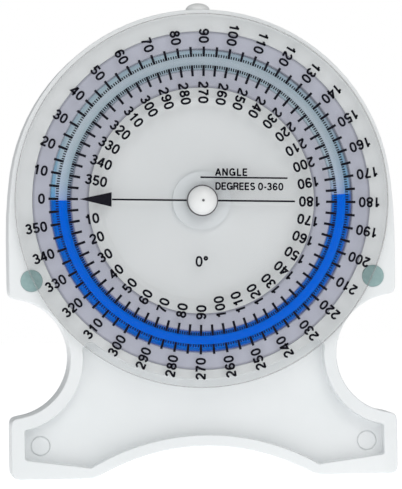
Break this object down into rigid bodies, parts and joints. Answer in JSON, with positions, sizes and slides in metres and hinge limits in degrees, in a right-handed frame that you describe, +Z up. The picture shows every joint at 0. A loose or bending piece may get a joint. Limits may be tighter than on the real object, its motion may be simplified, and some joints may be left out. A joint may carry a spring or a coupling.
{
  "type": "bubble inclinometer goniometer",
  "caption": "Hand-held fluid goniometer: white two-footed housing, clear turning degree dial over a ring tube half filled with blue fluid.",
  "frame": {"origin": "centre of the bounding box's bottom face: under the middle of the two soles, half-way between the knob's tip and the back", "axes": "+Z up from the soles to the head, the dial faces -Y, +X to the right of someone reading the dial"},
  "size_m": [0.0998, 0.024, 0.1221],
  "materials": {
    "white_plastic": "satin white moulded ABS",
    "clear_plastic": "clear polished acrylic",
    "ring_plastic": "clear acrylic with a faint violet cast",
    "backing_grey": "matt lavender grey",
    "blue_fluid": "dyed blue indicator fluid",
    "washer_nylon": "milky white nylon",
    "steel": "bright steel",
    "pad_rubber": "grey-green rubber",
    "seal_rubber": "black rubber"
  },
  "bodies": {
    "housing": {"housing": "white_plastic", "back_cover": "white_plastic", "ring_front": "ring_plastic", "ring_back": "ring_plastic", "ring_backing": "backing_grey", "filler_plug": "white_plastic", "plug_seal": "seal_rubber", "dial_washer": "washer_nylon", "wave_washer": "steel", "friction_pad_left": "pad_rubber", "friction_pad_right": "pad_rubber", "cover_screw_1": "steel", "cover_screw_2": "steel", "cover_screw_3": "steel", "cover_screw_4": "steel", "cover_screw_5": "steel", "cover_screw_6": "steel"},
    "dial": {"dial": "clear_plastic", "knob": "white_plastic", "knob_washer": "seal_rubber", "pivot_pin": "steel", "retaining_clip": "steel"},
    "fluid": {"indicator_fluid": "blue_fluid"}
  },
  "joints": [
    {"name": "dial_turn", "type": "hinge", "parent": "housing", "child": "dial", "pos_m": [0, 0, 0.0712], "axis": [0, 1, 0], "continuous": true},
    {"name": "fluid_level", "type": "hinge", "parent": "housing", "child": "fluid", "pos_m": [0, 0, 0.0712], "axis": [0, 1, 0], "continuous": true}
  ]
}
